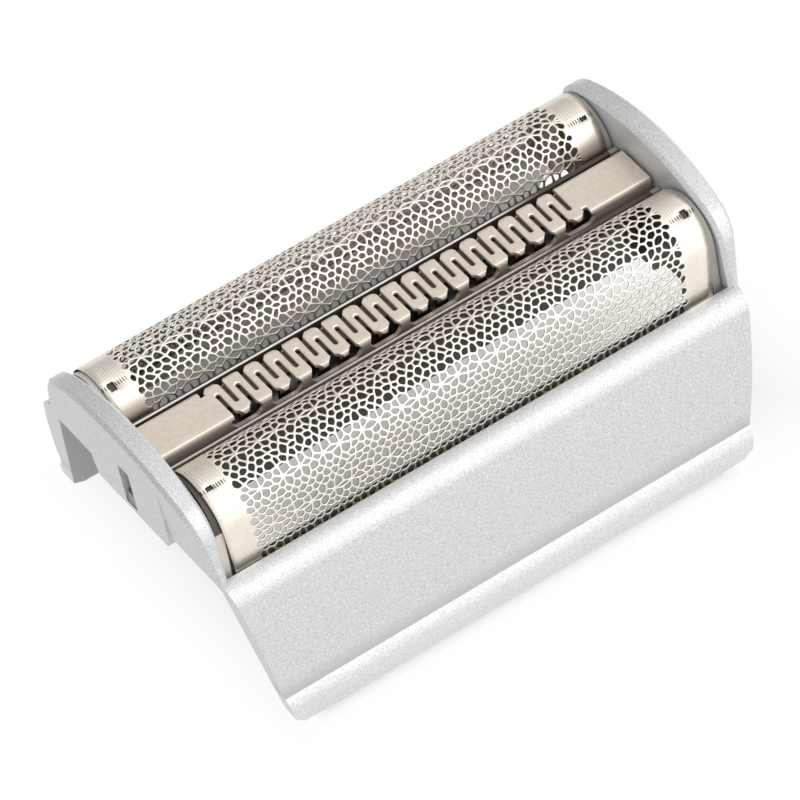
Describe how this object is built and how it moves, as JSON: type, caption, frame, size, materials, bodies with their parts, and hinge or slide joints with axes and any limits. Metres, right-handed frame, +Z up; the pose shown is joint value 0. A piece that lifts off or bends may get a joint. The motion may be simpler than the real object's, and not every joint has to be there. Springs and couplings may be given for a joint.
{
  "type": "shaver foil head",
  "caption": "Foil head of an electric shaver: a silver moulded frame that holds floating arched perforated foils and a sprung trimmer comb between them, with a stroking inner blade.",
  "frame": {"origin": "middle of the frame's rim plane, at the bottom", "axes": "+X along the foils, +Y across them towards the rear foil, +Z up towards the skin"},
  "size_m": [0.0456, 0.0286, 0.02],
  "materials": {
    "frame_paint": "satin silver metallic paint",
    "carrier_plastic": "satin grey plastic",
    "foil_nickel": "bright warm nickel",
    "tray_clear": "clear grey plastic",
    "comb_steel": "satin stamped steel",
    "spring_steel": "bright spring steel",
    "blade_steel": "ground dark steel",
    "driver_plastic": "matt black plastic"
  },
  "bodies": {
    "frame": {"foil_frame": "frame_paint"},
    "front_foil_unit": {"front_foil_carrier": "carrier_plastic", "front_foil": "foil_nickel"},
    "rear_foil_unit": {"rear_foil_carrier": "carrier_plastic", "rear_foil": "foil_nickel"},
    "trimmer_unit": {"trimmer_carrier": "tray_clear", "trimmer_comb": "comb_steel", "blade_spring_left": "spring_steel", "blade_spring_right": "spring_steel"},
    "blade_unit": {"trimmer_blade": "blade_steel", "blade_driver": "driver_plastic"}
  },
  "joints": [
    {"name": "front_foil_float", "type": "slide", "parent": "frame", "child": "front_foil_unit", "axis": [0, 0, 1], "range_m": [0, 0.0012]},
    {"name": "rear_foil_float", "type": "slide", "parent": "frame", "child": "rear_foil_unit", "axis": [0, 0, 1], "range_m": [0, 0.0012]},
    {"name": "trimmer_float", "type": "slide", "parent": "frame", "child": "trimmer_unit", "axis": [0, 0, 1], "range_m": [0, 0.0012]},
    {"name": "blade_stroke", "type": "slide", "parent": "trimmer_unit", "child": "blade_unit", "axis": [1, 0, 0], "range_m": [-0.001, 0.001]}
  ]
}
